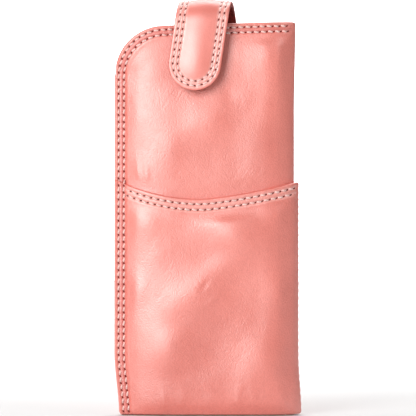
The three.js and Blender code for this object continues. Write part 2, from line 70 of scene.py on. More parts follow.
CASE_HEIGHT = SHELL_HI[2]
MOUTH_DROP = 1.8  # how much lower the mouth's rim is at the shoulder than at the fold
SEWN_EDGE = SHELL_LO[0]
FOLD_FLARE = 1.2  # how far the foot stands out at the fold
FOLD_EDGE = SHELL_HI[0] - FOLD_FLARE
SHOULDER_RADIUS = 22.0
FOOT_TAPER = 2.1  # how far the sewn edge is drawn in at the foot
FOOT_CORNER, FOOT_CORNER_IN = 2.2, 1.3
MOUTH_FLARE = 0.6
MIDDLE_Y = (SHELL_LO[1] + SHELL_HI[1]) / 2
FULL_HALF = (SHELL_HI[1] - SHELL_LO[1]) / 2  # half the depth where the case is fullest
FOOT_HALF = 3.5
FOOT_ROUND = 8.0
MOUTH_HALF = 6.2
SEAM_HALF = 2.2
SEAM_WIDTH = 5.0
SEAM_RISE = 22.0
FOLD_ROUND = 14.0
LEATHER = 1.1
HEM = 2 * LEATHER
HEM_START = 0.94  # share of the height
HEM_DEPTH = 10.0
LINING_INSET = 2.7
LINING_BACK = 3.1
LINING_DROP = 11.0  # from the mouth's rim to the lining's
PITCH = 3.05
OUTER_ROW = 1.9
INNER_ROW = 4.2
EDGE_INSETS = (("outer", OUTER_ROW), ("inner", INNER_ROW))
ROWS_END = 36.0  # the rows along the mouth stop short of the fold

POCKET_LOW_X, POCKET_LOW_Z = -4.0, 93.0  # where the pocket's rim dips lowest
POCKET_RISE_LEFT, POCKET_RISE_RIGHT = 8.6, 7.9
POCKET_LIFT = 1.0
POCKET_LEATHER = 0.95
POCKET_OUT = POCKET_LIFT + POCKET_LEATHER
POCKET_HEM_LIFT = 0.3
POCKET_FOOT = 0.4
POCKET_WRAP = 4.5  # how far the pocket goes round the fold onto the back
SIDE_ROW_IN = POCKET_WRAP / 2
SCALLOP = 0.26  # how far the side row's thread draws the pocket's outline in and out

STRAP_HALF = 11.3
STRAP_LEAN = np.radians(8.7)
STRAP_END = ((PATCH_LO[0] + PATCH_HI[0]) / 2, 151.0)
STRAP_TOP = 178.9
STRAP_THICK = 2.5
ARCH_FOOT = 168.0
ANCHOR_LOW = 136.0
ANCHOR_GAP = 0.3
STUD_STACK = 2.9
STRAP_ROWS = (1.9, 3.9)
STRAP_PITCH = 3.03
STRAP_SLANT = 0.12

RIM_STEPS = np.linspace(0, np.pi, 7)[1:-1]  # turns of a rolled rim
BACK_SEED, BODY_SEED, POCKET_SEED = 11, 3, 5


# ---------------- small maths


def clip01(t):
    return np.clip(t, 0.0, 1.0)


def smooth(t):
    t = clip01(t)
    return t * t * (3 - 2 * t)


def lerp(a, b, t):
    return a + (b - a) * t


def bump(t):
    """A bell of height 1 at 0, about 1 wide to each side."""
    return np.exp(-(t**2) * 1.6)


def rounded(t):
    """A quarter circle that falls from 1 at 0 to 0 at 1."""
    return 1 - np.sqrt(1 - (1 - clip01(t)) ** 2)


def spread(stops):
    """Numbers from stop to stop, where each (stop, step) gives the step that leads up to it."""
    coarser = 1
    out = [stops[0][0]]
    for (a, _), (b, step) in zip(stops, stops[1:]):
        n = max(1, round(abs(b - a) / (step * coarser)))
        out += list(np.linspace(a, b, n + 1)[1:])
    return np.array(out)


def unit(vector):
    return vector / np.linalg.norm(vector)


# ---------------- the case's form


def corner_cut(z):
    """How far the foot's corners are rounded back."""
    return FOOT_CORNER_IN * rounded(z / FOOT_CORNER)


def sewn_edge(z):
    return SEWN_EDGE + FOOT_TAPER * (1 - smooth(z / 28.0)) + corner_cut(z)


def fold_edge(z):
    foot = FOLD_FLARE * (1 - smooth(z / 25.0))
    mouth = MOUTH_FLARE * smooth((z - 130) / (CASE_HEIGHT - 130))
    return FOLD_EDGE + foot + mouth - corner_cut(z)


SHOULDER_X = SEWN_EDGE + SHOULDER_RADIUS
SHOULDER_Z = CASE_HEIGHT - MOUTH_DROP - SHOULDER_RADIUS
MOUTH_RIGHT = FOLD_EDGE + MOUTH_FLARE


def rim_height(x, inset=0.0):
    """z of the mouth's rim, or of a line inside it."""
    r = SHOULDER_RADIUS - inset
    arc = SHOULDER_Z + np.sqrt(np.maximum(0, r**2 - (SHOULDER_X - x) ** 2))
    line = CASE_HEIGHT - MOUTH_DROP * (1 - (x - SHOULDER_X) / (MOUTH_RIGHT - SHOULDER_X))
    return np.where(x < SHOULDER_X, arc, line - inset)


def crown_half(z, inset=0.0):
    """Half the depth at the fullest place of each height."""
    t = clip01((z - inset) / (FOOT_ROUND - inset))
    foot = np.sqrt(1 - (1 - t) ** 2)
    mouth = smooth((z - 120) / (CASE_HEIGHT - 120))
    return lerp(FOOT_HALF, FULL_HALF, foot) - (FULL_HALF - MOUTH_HALF) * mouth - inset


def seam_swell(x, z):
    """How far the case has swelled from its flat seam to its full depth."""
    top = np.minimum(z, SHOULDER_Z)
    away = np.hypot(x - sewn_edge(top), z - top)
    t = clip01((away - SEAM_WIDTH) / SEAM_RISE)
    return (1 - (1 - t) ** 2.2) ** 0.8


def half_depth(x, z, inset=0.0, seam_half=None):
    """From the middle plane to the leather's face, or to a surface inside it."""
    seam = SEAM_HALF - inset if seam_half is None else seam_half
    half = lerp(seam, crown_half(z, inset), seam_swell(x, z))
    into = (x - fold_edge(z) + FOLD_ROUND) / (FOLD_ROUND - inset)
    return half * np.sqrt(np.maximum(0, 1 - np.maximum(into, 0) ** 2))


def edge_distance(x, z):
    """How far inside the sewn edge, the shoulder and the mouth's rim a point is."""
    left = x - sewn_edge(z)
    corner = SHOULDER_RADIUS - np.hypot(x - SHOULDER_X, z - SHOULDER_Z)
    top = rim_height(x) - z
    d = np.where(z > SHOULDER_Z, np.where(x < SHOULDER_X, corner, top), left)
    return np.where((x >= SHOULDER_X) & (z <= SHOULDER_Z), np.minimum(left, top), d)


def edge_run(x, z, inset):
    """Distance along a row that runs up the sewn edge, round the shoulder and along the mouth."""
    r = SHOULDER_RADIUS - inset
    angle = np.arctan2(z - SHOULDER_Z, SHOULDER_X - x)
    corner = SHOULDER_Z + r * angle
    top = SHOULDER_Z + r * np.pi / 2 + (x - SHOULDER_X)
    return np.where(z > SHOULDER_Z, np.where(x < SHOULDER_X, corner, top), z)


def edge_row_point(u, inset):
    """x, z at distance u along such a row."""
    r = SHOULDER_RADIUS - inset
    a = (u - SHOULDER_Z) / r
    over = u - SHOULDER_Z - r * np.pi / 2
    x_top = SHOULDER_X + over
    if u <= SHOULDER_Z:
        return sewn_edge(u) + inset, u
    if over <= 0:
        return SHOULDER_X - r * np.cos(a), SHOULDER_Z + r * np.sin(a)
    return x_top, float(rim_height(x_top)) - inset


def pocket_rim(x):
    left = clip01((POCKET_LOW_X - x) / (POCKET_LOW_X - SEWN_EDGE))
    right = clip01((x - POCKET_LOW_X) / (FOLD_EDGE + 2 - POCKET_LOW_X))
    return POCKET_LOW_Z + POCKET_RISE_LEFT * left**2 + POCKET_RISE_RIGHT * right**1.4


# Soft swellings of the leather, and dents where the height is negative:
# x, z, half width, half height along z, lean in degrees, height.
BODY_DENTS = [
    (0, 126, 14, 12, 20, 1.3), (22, 120, 12, 20, 0, 1.0), (30, 142, 13, 13, -20, 1.0),
    (-17, 116, 9, 12, 10, 0.5), (-24, 148, 8, 9, 40, 0.4), (9, 138, 5, 5, 0, -0.25),
    (28, 155, 15, 11, 0, 1.7),
    (-30.5, 106, 1.7, 6, 10, 0.35), (-26.5, 104, 1.5, 5, 6, 0.35), (-33.5, 108, 1.3, 5, 4, 0.3),
    (-34, 128, 2.2, 3, 60, 0.25), (-34, 120, 2.2, 3, 70, 0.25), (-34, 137, 2.4, 3, 60, 0.2),
]
POCKET_DENTS = [
    (12, 78, 18, 12, -30, 3.1), (-27, 83, 8, 8, 10, 0.8), (3, 62, 7, 20, -55, 0.7),
    (-5, 51, 17, 13, 20, 2.1), (-17, 29, 14, 14, -10, 2.1), (21, 22, 14, 16, -15, 1.9),
    (31, 52, 7, 15, 5, 0.7), (-1.5, 56, 1.6, 4.5, -35, -0.3), (2, 50, 1.5, 5, -50, 0.25),
    (-31, 52, 4, 10, -10, 0.35), (30, 86, 6, 6, 0, 0.4), (0, 14, 8, 6, 0, 0.4),
    (-19, 7, 1.6, 7, 5, 0.22), (-11, 7, 2.6, 6, -6, 0.2), (13, 7, 1.8, 7, -4, 0.22),
    (19, 9, 2.4, 7, 8, 0.2), (31, 10, 3.0, 8, 15, 0.3), (1, 6, 3.5, 5, 2, 0.15),
]


def dents(x, z, entries):
    total = np.zeros_like(x, dtype=float)
    for cx, cz, wide, tall, lean, rise in entries:
        a = np.radians(lean)
        across = (x - cx) * np.cos(a) + (z - cz) * np.sin(a)
        along = -(x - cx) * np.sin(a) + (z - cz) * np.cos(a)
        total += rise * bump(np.hypot(across / wide, along / tall))
    return total


def rolling(x, z, seed):
    """Gentle unevenness with no direction, in millimetres."""
    rng = np.random.default_rng(seed)
    total = np.zeros_like(x, dtype=float)
    for wave in (46, 31, 22, 15, 11):
        for _ in range(3):
            a, phase = rng.uniform(0, np.pi), rng.uniform(0, 2 * np.pi)
            total += wave * np.sin(2 * np.pi * (x * np.cos(a) + z * np.sin(a)) / wave + phase)
    return total * 0.0011


def relief(x, z, entries, seed):
    """What the leather's face adds to its smooth form. It dies away at the seam and the fold."""
    calm = smooth((x - sewn_edge(z) - 4.5) / 6) * smooth((fold_edge(z) - 1 - x) / 7) * smooth(z / 5)
    return calm * (0.25 + dents(x, z, entries) + rolling(x, z, seed))


def body_relief(x, z):
    """The front's relief above the pocket. It is calm under the mouth's rows and behind the pocket."""
    shown = smooth((z - pocket_rim(x) - 0.5) / 7) * smooth((edge_distance(x, z) - 4.6) / 6)
    return shown * relief(x, z, BODY_DENTS, BODY_SEED)


def back_relief(x, z):
    return relief(x, z, [], BACK_SEED)


def furrow(d, rows, depth=0.16):
    """Thread pulls the leather in along its rows, and it stands up beside the last of them."""
    pull = sum(bump((d - row) / 0.75) for row in rows)
    swell = sum(bump((d - row - 1.4) / 0.8) for row in rows[-1:])
    return -depth * pull + 0.5 * depth * swell


# ---------------- meshes


def make_mesh(name, points, faces):
    mesh = bpy.data.meshes.new(name)
    mesh.from_pydata((np.asarray(points) * MM).tolist(), [], faces)
    mesh.validate()
    mesh.polygons.foreach_set("use_smooth", [True] * len(mesh.polygons))
    obj = bpy.data.objects.new(name, mesh)
    bpy.context.scene.collection.objects.link(obj)
    return obj


def set_row(obj, name, across, along, on):
    """Each point's distance across a row, its distance along it, and 1 where the row is sewn."""
    attribute = obj.data.attributes.new(name, "FLOAT_VECTOR", "POINT")
    attribute.data.foreach_set("vector", np.stack([across, along, on], -1).astype(np.float32).ravel())


def grid_faces(rows, columns, wrap=False):
    """Quads between rows of points. With wrap, each row is a loop."""
    i, j = np.meshgrid(np.arange(rows - 1), np.arange(columns if wrap else columns - 1), indexing="ij")
    here, above = i * columns, (i + 1) * columns
    after = (j + 1) % columns
    return np.stack([here + j, here + after, above + after, above + j], -1).reshape(-1, 4).tolist()


def fix_normals(obj):
    bm = bmesh.new()
    bm.from_mesh(obj.data)
    bmesh.ops.remove_doubles(bm, verts=bm.verts, dist=1e-7)
    bmesh.ops.recalc_face_normals(bm, faces=bm.faces)
    bm.to_mesh(obj.data)
    bm.free()


def finish_piece(obj, body, material, slot, replaces=(), blend=None):
    """Gives a piece its material and its body; a piece that spans two bodies gets its placement baked into
    its points instead.
    """
    obj.data.materials.clear()
    obj.data.materials.append(material)
    if blend:
        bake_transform(obj)
    else:
        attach(obj, body)
    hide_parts(*replaces)
    return obj


# ---------------- materials


class Nodes:
    """Builds a node tree from expressions. A value is a number, a colour or another node's output."""

    def __init__(self, name):
        self.material = bpy.data.materials.new(name)
        self.material.use_nodes = True
        self.tree = self.material.node_tree
        self.tree.nodes.clear()

    def node(self, kind, inputs=(), **settings):
        n = self.tree.nodes.new(kind)
        for key, value in settings.items():
            setattr(n, key, value)
        for key, value in dict(inputs).items():
            if isinstance(value, bpy.types.NodeSocket):
                self.tree.links.new(value, n.inputs[key])
            else:
                n.inputs[key].default_value = value
        return n

    def math(self, operation, *values):
        return self.node("ShaderNodeMath", enumerate(values), operation=operation).outputs[0]

    def sum(self, *values):
        return reduce(partial(self.math, "ADD"), values)

    def scaled(self, value, by):
        return self.math("MULTIPLY", value, by)

    def remap(self, value, low, high, to_low=0.0, to_high=1.0):
        """A smooth step from low to high, which may run downwards."""
        inputs = enumerate((value, low, high, to_low, to_high))
        return self.node("ShaderNodeMapRange", inputs, interpolation_type="SMOOTHSTEP").outputs[0]

    def mix(self, factor, a, b):
        return self.node("ShaderNodeMix", {0: factor, 6: a, 7: b}, data_type="RGBA").outputs[2]

    def noise(self, scale, detail=2.0, roughness=0.5, distortion=0.0, where=None):
        inputs = {"Scale": scale, "Detail": detail, "Roughness": roughness, "Distortion": distortion}
        inputs["Vector"] = self.where() if where is None else where
        return self.node("ShaderNodeTexNoise", inputs).outputs[0]

    def cells(self, scale):
        """Soft cells: the distance from the middle of each."""
        inputs = {"Vector": self.where(), "Scale": scale, "Smoothness": 0.5}
        return self.node("ShaderNodeTexVoronoi", inputs, feature="SMOOTH_F1").outputs[0]

    def where(self, stretch=None, turn=0.0):
        """The place in the object, or one stretched, and turned about the object's depth."""
        place = self.node("ShaderNodeTexCoord").outputs["Object"]
        if stretch is None:
            return place
        inputs = {"Vector": place, "Rotation": (0, turn, 0), "Scale": stretch}
        return self.node("ShaderNodeMapping", inputs, vector_type="TEXTURE").outputs[0]

    def streaks(self, scale, distortion, length, turn):
        """Noise drawn out along a line in the object's front."""
        return self.noise(scale, 2, 0.5, distortion, self.where((1, 1, length), turn))

    def attribute(self, name):
        vector = self.node("ShaderNodeAttribute", attribute_name=name).outputs["Vector"]
        return list(self.node("ShaderNodeSeparateXYZ", {0: vector}).outputs)

    def bump(self, height):
        """A normal from a height in metres."""
        return self.node("ShaderNodeBump", {"Strength": 1.0, "Distance": 1.0, "Height": height}).outputs[0]

    def surface(self, **inputs):
        inputs = {name.replace("_", " "): value for name, value in inputs.items()}
        shader = self.node("ShaderNodeBsdfPrincipled", inputs)
        self.node("ShaderNodeOutputMaterial", {0: shader.outputs[0]})
        return self.material


def srgb(r, g, b):
    """A linear colour from 8-bit sRGB values."""
    c = np.array([r, g, b]) / 255
    linear = np.where(c <= 0.04045, c / 12.92, ((c + 0.055) / 1.055) ** 2.4)
    return (*(float(v) for v in linear), 1.0)


HOLE_LONG, HOLE_WIDE, HOLE_SLANT = 0.46, 0.34, 1.1


def stitch_marks(n, row, pitch):
    """How much of a needle hole, of its pulled-in rim, of the row's groove and of its band is at a point."""
    across, along, on = n.attribute(row)
    off_row = n.math("ABSOLUTE", across)
    phase = n.math("SUBTRACT", n.math("FRACT", n.math("DIVIDE", along, pitch)), 0.5)
    along_hole = n.sum(n.scaled(phase, pitch / HOLE_LONG), n.scaled(across, HOLE_SLANT))
    across_hole = n.math("DIVIDE", across, HOLE_WIDE)
    squares = [n.math("POWER", n.math("ABSOLUTE", v), 2.0) for v in (along_hole, across_hole)]
    reach = n.math("SQRT", n.sum(*squares))
    marks = ((reach, 1.15, 0.7), (reach, 3.2, 0.9), (off_row, 0.75, 0.1), (off_row, 1.5, 0.8))
    return [n.scaled(n.remap(*mark), on) for mark in marks]


CORAL = (233, 117, 100)
# Painted shade: the colour that grain valleys, row grooves and hollows are darkened towards.
SHADE_CORAL = srgb(196, 62, 52)
RIDGE_CORAL = srgb(210, 84, 70)
# Painted highlight for the leather's convex edges.
EDGE_HIGHLIGHT_CORAL = srgb(250, 176, 164)
BAND_CORAL = srgb(246, 172, 160)
# Painted shade inside the needle holes.
HOLE_SHADE_BROWN = srgb(104, 28, 28)
WHITE, BLACK = (1, 1, 1, 1), (0, 0, 0, 1)
MICRON = 1e-6


def leather_tone(n, base):
    """The dyed colour, a little paler and darker from place to place, and how worn it is."""
    blotch = n.remap(n.noise(38, 3, 0.55), 0.3, 0.7)
    cloud = n.remap(n.noise(14, 2, 0.5), 0.35, 0.7)
    worn = n.remap(n.noise(90, 4, 0.65), 0.3, 0.75)
    paler, darker = srgb(*[min(255, c + 8) for c in base]), srgb(*[c - 6 for c in base])
    colour = n.mix(n.scaled(cloud, 0.35), n.mix(blotch, darker, paler), paler)
    return colour, n.sum(n.scaled(worn, 0.08), n.scaled(blotch, 0.05))


def leather_grain(n, colour, grain):
    """Fine pebbles that lie one way or the other, and hair creases in patches, with painted shade darkening
    the cells' edges and the pebbles' valleys.
    """
    cells = n.cells(1800)
    way = n.remap(n.noise(48, 2, 0.5), 0.42, 0.58)
    other_way = n.math("SUBTRACT", 1.0, way)
    pebble = n.sum(n.scaled(n.streaks(1500, 0.3, 2.0, 0.75), way),
                   n.scaled(n.streaks(1500, 0.3, 2.0, -0.5), other_way))
    # Painted shade: the colour darkens towards the cells' edges and in the pebbles' valleys, where the grain
    # is lowest.
    colour = n.mix(n.scaled(n.remap(cells, 0.3, 0.62), 0.17 * grain), colour, SHADE_CORAL)
    colour = n.mix(n.scaled(n.remap(pebble, 0.52, 0.40), 0.12 * grain), colour, SHADE_CORAL)
    patch = n.remap(n.noise(55, 2, 0.5), 0.5, 0.68)
    heights = [(cells, -80), (pebble, 40), (n.noise(180, 3, 0.5), 90), (n.noise(60, 2, 0.5), 300)]
    for streak, low, high, rise in ((n.streaks(420, 0.5, 7, 0.58), 0.5, 0.62, -25),
                                    (n.streaks(380, 0.5, 6, -0.75), 0.52, 0.63, -20)):
        heights.append((n.scaled(n.remap(streak, low, high), patch), rise))
    return colour, n.sum(*[n.scaled(value, rise * MICRON * grain) for value, rise in heights])


def leather(name, rows=(), pitch=PITCH, base=CORAL, rough=0.46, grain=1.0, sheen=1.0):
    """Smooth dyed nappa with a waxy sheen: fine grain, hair creases, needle holes along its rows, painted
    shade in holes, grooves and hollows and painted highlight on edges.
    """
    n = Nodes(name)
    colour, wear = leather_tone(n, base)
    colour, height = leather_grain(n, colour, grain)
    hole_shade = None
    for row in rows:
        hole, rim, groove, band = stitch_marks(n, row, pitch)
        for mark, depth in ((hole, 400), (rim, 160), (groove, 100)):
            height = n.math("SUBTRACT", height, n.scaled(mark, depth * MICRON))
        hole_shade = hole if hole_shade is None else n.math("MAXIMUM", hole_shade, hole)
        # Along the edge and side rows the colour darkens in each row's groove: painted shade.
        if row.startswith("edge") or row == "side_row":
            colour = n.mix(n.scaled(groove, 0.25), colour, SHADE_CORAL)
        else:
            colour = n.mix(n.scaled(band, 0.45), colour, BAND_CORAL)
    if "edge_outer" in rows:
        across, _, on = n.attribute("edge_outer")
        between = n.scaled(n.remap(across, 0.2, 0.7), n.remap(across, 2.3, 1.8))
        colour = n.mix(n.scaled(n.scaled(between, on), 0.6), colour, RIDGE_CORAL)
    coat, tint = 0.18 * sheen, WHITE
    if rows:  # needle holes get painted shade: dark brown, with no reflection
        colour = n.mix(n.scaled(hole_shade, 0.93), colour, HOLE_SHADE_BROWN)
        coat = n.scaled(n.math("SUBTRACT", 1.0, hole_shade), coat)
        tint = n.mix(hole_shade, WHITE, BLACK)
    # Painted highlight on the mesh's convex edges and painted shade in its hollows, from its pointiness.
    edge = n.node("ShaderNodeNewGeometry").outputs["Pointiness"]
    colour = n.mix(n.remap(edge, 0.53, 0.62, 0, 0.30), colour, EDGE_HIGHLIGHT_CORAL)
    colour = n.mix(n.remap(edge, 0.47, 0.38, 0, 0.35), colour, SHADE_CORAL)
    return n.surface(
        Base_Color=colour,
        Roughness=n.sum(wear, rough - 0.06),
        IOR=1.92,
        Specular_IOR_Level=0.95 * sheen,
        Specular_Tint=tint,
        Coat_Weight=coat,
        Coat_Roughness=0.42,
        Normal=n.bump(height),
    )


def fabric(name, base, scale=2600, nap=100):
    """Brushed or felted cloth. nap is its height in microns."""
    n = Nodes(name)
    fibre = n.noise(scale, 4, 0.7, 0.4)
    patch = n.noise(120, 3, 0.6)
    deepest, deep, light = [srgb(*[min(255, c + change) for c in base]) for change in (-22, -16, 12)]
    colour = n.mix(n.remap(fibre, 0.3, 0.7), deep, light)
    colour = n.mix(n.scaled(patch, 0.3), colour, deepest)
    height = n.sum(n.scaled(fibre, nap * MICRON), n.scaled(patch, nap * MICRON))
    return n.surface(
        Base_Color=colour, Roughness=0.9, Sheen_Weight=0.6, Sheen_Roughness=0.5, Normal=n.bump(height))


TWIST = 0.85  # the length of one turn of the thread's two plies


def thread_look(name):
    """Waxed two-ply thread: the twist comes from its own run and turn."""
    n = Nodes(name)
    run, turn, shade = n.attribute("ply")
    twist = n.math("SINE", n.sum(n.scaled(run, 2 * np.pi / TWIST), n.scaled(turn, 2.0)))
    # Painted shade: the thread is darker in the grooves between its plies, paler on their crests.
    colour = n.mix(n.remap(twist, -0.9, 0.5), srgb(244, 188, 180), srgb(252, 226, 220))
    colour = n.mix(n.scaled(shade, 0.3), colour, srgb(242, 172, 162))
    height = n.sum(n.scaled(twist, 60 * MICRON), n.scaled(n.noise(5200, 2), 30 * MICRON))
    return n.surface(
        Base_Color=colour, Roughness=0.5, Sheen_Weight=0.25, Coat_Weight=0.15, Normal=n.bump(height))


def metal_look(name):
    """Nickel plate with fine scratches and a little tarnish."""
    n = Nodes(name)
    scratch = n.noise(2400, 3, 0.6, 0.2, n.where((1, 6, 1)))
    tarnish = n.noise(420, 3, 0.6)
    colour = n.mix(n.remap(tarnish, 0.35, 0.8), srgb(214, 208, 198), srgb(176, 166, 152))
    roughness = n.sum(n.scaled(scratch, 0.18), 0.14)
    return n.surface(
        Base_Color=colour, Metallic=1.0, Roughness=roughness, Normal=n.bump(n.scaled(scratch, 20 * MICRON)))


EDGE_ROWS = ("edge_outer", "edge_inner")
BODY_LEATHER = leather("body_leather", EDGE_ROWS)
POCKET_HIDE = leather("pocket_leather", EDGE_ROWS + ("rim_outer", "rim_inner", "side_row"))
STRAP_HIDE = leather(
    "strap_leather", ("strap_outer", "strap_inner"), STRAP_PITCH, base=(233, 118, 102), grain=0.5)
# The backing's dark maroon is partly its own colour and partly painted shade for the inside of the strap's
# arch.
BACKING_HIDE = leather("strap_backing", base=(112, 40, 34), rough=0.7, grain=1.6, sheen=0.3)
LINING_CLOTH = fabric("lining_cloth", (190, 92, 84))
FELT = fabric("padding_felt", (226, 220, 208), 1500, nap=300)
STIFFENER = fabric("stiffener", (214, 206, 192), 1800)
THREAD_LOOK = thread_look("waxed_thread")
METAL_LOOK = metal_look("nickel_plate")


# ---------------- the body's leather


def onto_case(x, z, side, inset, seam_half, out):
    """Points at x, z on a surface this far inside the leather, moved outwards by out."""
    return np.stack([x, MIDDLE_Y + side * (half_depth(x, z, inset, seam_half) + out), z], -1)


# The sewn edge's section from back to front: share of the edge's half depth, set back from the edge.
CUT_EDGE = [(0.93, 0.08), (0.6, 0.0), (0.2, 0.03), (0.07, 0.45)]
CUT_EDGE += [(-share, back_set) for share, back_set in CUT_EDGE[::-1]]
CORNER_IN = 0.4

# Distances across the front from the sewn edge to the fold, each with the step that leads up to it.
CASE_WIDTH = MOUTH_RIGHT - SEWN_EDGE
WIDTH_STOPS = [(7, 0.28), (14, 0.55), (66, 0.75), (74, 0.5), (CASE_WIDTH - 0.8, 0.28), (CASE_WIDTH, 0.12)]
HEIGHT_STOPS = [(0, 0), (2.2, 0.2), (8, 0.45), (150, 0.72), (163, 0.5), (CASE_HEIGHT, 0.28)]


def across_shares():
    """Shares of the width, close together at the seam, at its rows of thread and at the fold."""
    return spread([(0, 0), (1.6, 0.14)] + WIDTH_STOPS) / CASE_WIDTH


def case_loop(v, shares, inset, floor, edge, rim_inset, seam_half=None, detail=0.0):
    """A loop of points round the case, a share v of the way up to its rim: front, fold, back, sewn edge."""
    x_top = lerp(SEWN_EDGE + edge + CORNER_IN, MOUTH_RIGHT - inset, shares)
    z = lerp(floor, rim_height(x_top, rim_inset), v)
    x = lerp(sewn_edge(z) + edge + CORNER_IN, fold_edge(z) - inset, shares)
    corner = 0.35 * bump((x - sewn_edge(z) - CORNER_IN) / 0.3) * (z < SHOULDER_Z)
    shared = furrow(edge_distance(x, z), (OUTER_ROW, INNER_ROW)) - corner
    front = onto_case(x, z, -1, inset, seam_half, detail * (shared + body_relief(x, z)))
    back = onto_case(x, z, 1, inset, seam_half, detail * (shared + back_relief(x, z)))
    half = half_depth(x[:1], z[:1], inset, seam_half)[0]
    cut = [[sewn_edge(z[0]) + edge + back_set, MIDDLE_Y + half * y, z[0]] for y, back_set in CUT_EDGE]
    return np.concatenate([front, back[::-1][1:], cut])


def loops_mesh(name, loops, width):
    """A closed mesh from loops of points. Its first and last loop are closed between front and back."""
    around = len(loops[0])
    faces = grid_faces(len(loops), around, wrap=True)
    for base, turn in ((0, 1), ((len(loops) - 1) * around, -1)):
        last = base + 2 * width - 2
        for k in range(width - 1):
            corners = [base + k, base + k + 1, last - k - 1, last - k]
            faces.append(list(dict.fromkeys(corners))[::turn])
        faces.append([*range(last, last + len(CUT_EDGE) + 1), base][::turn])
    return make_mesh(name, np.concatenate(loops), faces)


def rim_directions(x):
    """The outward direction of the mouth's rim, in the plane of the front."""
    corner = np.stack([x - SHOULDER_X, 0 * x, rim_height(x, LEATHER) - SHOULDER_Z], -1)
    corner /= np.maximum(np.linalg.norm(corner, axis=1, keepdims=True), 1e-6)
    return np.where((x < SHOULDER_X)[:, None], corner, [0.0, 0.0, 1.0])


def roll_over(outer, inner, push):
    """Rows that roll from one rim over to the other. push is how far the middle one stands out."""
    return [lerp(outer, inner, (1 - np.cos(a)) / 2) + push * np.sin(a) for a in RIM_STEPS]


def build_body():
    shares = across_shares()
    levels = spread(HEIGHT_STOPS) / CASE_HEIGHT
    outer = [case_loop(v, shares, 0.0, 0.0, 0.0, LEATHER, detail=1.0) for v in levels]
    inner = []
    for v in (1, 0.985, 0.97, 0.955, HEM_START + 0.0002, HEM_START, 0.9, 0.8, 0.5, 0.2, 0.08, 0.03, 0.0):
        inset, seam = (HEM, 0.3) if v > HEM_START else (LEATHER, LEATHER)
        inner.append(case_loop(v, shares, inset, LEATHER, LEATHER, LEATHER, seam))
    top_x = outer[-1][:, 0]
    reach = LEATHER * clip01((top_x - SEWN_EDGE - CORNER_IN) / (LEATHER - CORNER_IN))
    reach[-len(CUT_EDGE):] = 0
    rolled = roll_over(outer[-1], inner[0], rim_directions(top_x) * reach[:, None])
    loops = outer + rolled + inner
    obj = loops_mesh("case_leather", loops, len(shares))
    x, _, z = np.concatenate(loops).T
    on = (x < ROWS_END).astype(float)
    on[len(outer) * len(outer[0]):] = 0
    for row, inset in EDGE_INSETS:
        set_row(obj, f"edge_{row}", edge_distance(x, z) - inset, edge_run(x, z, inset), on)
    fix_normals(obj)
    finish_piece(obj, "case", BODY_LEATHER, "coral_leather", ["outer_shell"])


def build_lining():
    shares = np.append(across_shares()[:-1:2], 1.0)
    levels = spread([(0, 0), (12, 1.2), (140, 3), (CASE_HEIGHT, 0.8)]) / CASE_HEIGHT
    loops = []
    faces = ((LINING_INSET, 2.5, 1.5, 0.8, 1), (LINING_BACK, 2.9, 1.9, 0.4, -1))  # outer, then inner
    for inset, floor, edge, seam, order in faces:
        for v in levels[::order]:
            loop = case_loop(v, shares, inset, floor, edge, LINING_DROP, seam)
            x, _, z = loop.T
            sag = 0.132 * np.sin(z / 4.1 + x / 9.0) * np.sin(x / 5.3)
            loop[:, 1] += sag * smooth((x - SEWN_EDGE - 8) / 6) * smooth((MOUTH_RIGHT - x - 6) / 8)
            loops.append(loop)
    obj = loops_mesh("lining_cloth_bag", loops, len(shares))
    fix_normals(obj)
    finish_piece(obj, "case", LINING_CLOTH, "lining_fabric", ["lining_bag"])


# ---------------- the pocket


def pocket_stations(step=1.0):
    """x shares and sides from the sewn edge across the front, round the fold and onto the back."""
    front = spread([(0, 0)] + [(stop, gap * step) for stop, gap in WIDTH_STOPS]) / CASE_WIDTH
    wrapped = 1 - POCKET_WRAP / CASE_WIDTH
    back = np.append(front[(front < 1) & (front > wrapped)][::-1], wrapped)
    return np.concatenate([front, back]), np.concatenate([-np.ones(len(front)), np.ones(len(back))])


RIM_ROWS = (("outer", 2.0, 0.0), ("inner", 4.5, PITCH / 2))  # name, inset, how far its stitches are shifted
RIM_X = np.linspace(SEWN_EDGE, FOLD_EDGE + 3, 400)
RIM_LENGTH = np.concatenate([[0], np.cumsum(np.hypot(np.diff(RIM_X), np.diff(pocket_rim(RIM_X))))])


def rim_run(x):
    """Distance along the pocket's rim."""
    return np.interp(x, RIM_X, RIM_LENGTH)


def rim_param(x, z):
    """The x that sets the rim's height above a point on the pocket's outer face."""
    share = (x - sewn_edge(z)) / (fold_edge(z) + POCKET_OUT - sewn_edge(z))
    return lerp(SEWN_EDGE, FOLD_EDGE, share)


def pocket_relief(x, z):
    """Relief of the pocket's outer face: rows of thread, and bulges that die away under the rim."""
    d_rim = pocket_rim(rim_param(x, z)) - z
    d_left = x - sewn_edge(z)
    rows = furrow(d_left, (OUTER_ROW, INNER_ROW))
    rim = furrow(d_rim, [inset for _, inset, _ in RIM_ROWS]) * smooth((d_left - 4) / 2)
    foot = -0.7 * clip01(1 - z / 12) ** 2
    return rows + rim + foot + relief(x, z, POCKET_DENTS, POCKET_SEED) * smooth((d_rim - 4.8) / 7)


